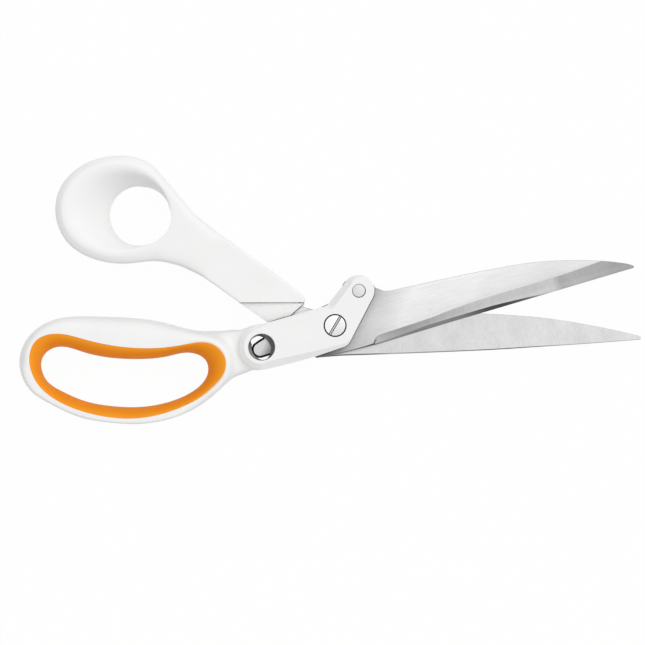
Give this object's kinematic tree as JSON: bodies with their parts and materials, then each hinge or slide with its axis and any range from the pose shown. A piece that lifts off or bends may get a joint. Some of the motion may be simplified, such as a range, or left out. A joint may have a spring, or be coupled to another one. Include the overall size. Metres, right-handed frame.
{
  "type": "fabric shears",
  "caption": "Fabric shears with ground steel blades on a slotted screw pivot, a flared thumb handle and a soft-lined finger handle whose lever arm turns on a rivet.",
  "frame": {"origin": "on the pivot axis, in the plane of the nut's flat rear face, which with the loops' rear rims is the surface the shears lie on", "axes": "+X towards the blade tips, +Z along the pivot axis towards the front side with the screw head, +Y towards the thumb loop"},
  "size_m": [0.2425, 0.1047, 0.018],
  "materials": {
    "blade_steel": "brushed along the blade, ground bevels",
    "white_plastic": "satin moulded plastic",
    "orange_rubber": "matt soft liner",
    "hardware_steel": "turned and polished",
    "bronze": "plain bearing bronze",
    "slide_plastic": "plain slide washer"
  },
  "bodies": {
    "front": {"front_blade": "blade_steel", "lever_rivet": "hardware_steel", "pivot_bush": "bronze", "spring_washer": "hardware_steel"},
    "finger": {"finger_handle": "white_plastic", "finger_grip": "orange_rubber", "window_sleeve": "hardware_steel", "lever_bush": "bronze"},
    "thumb": {"rear_blade": "blade_steel", "thumb_handle": "white_plastic", "pivot_nut": "hardware_steel", "nut_washer": "hardware_steel", "blade_washer": "slide_plastic"},
    "screw": {"pivot_screw": "hardware_steel"}
  },
  "joints": [
    {"name": "blade_pivot", "type": "hinge", "parent": "front", "child": "thumb", "pos_m": [0, 0, 0], "axis": [0, 0, 1], "range_deg": [-50, 12.6]},
    {"name": "lever_flex", "type": "hinge", "parent": "front", "child": "finger", "pos_m": [0.0092, 0.0136, 0], "axis": [0, 0, -1], "range_deg": [0, 0.5], "stiffness_Nm_per_rad": 15},
    {"name": "screw_turn", "type": "hinge", "parent": "front", "child": "screw", "pos_m": [0, 0, 0], "axis": [0, 0, 1], "range_deg": [-90, 90]}
  ]
}
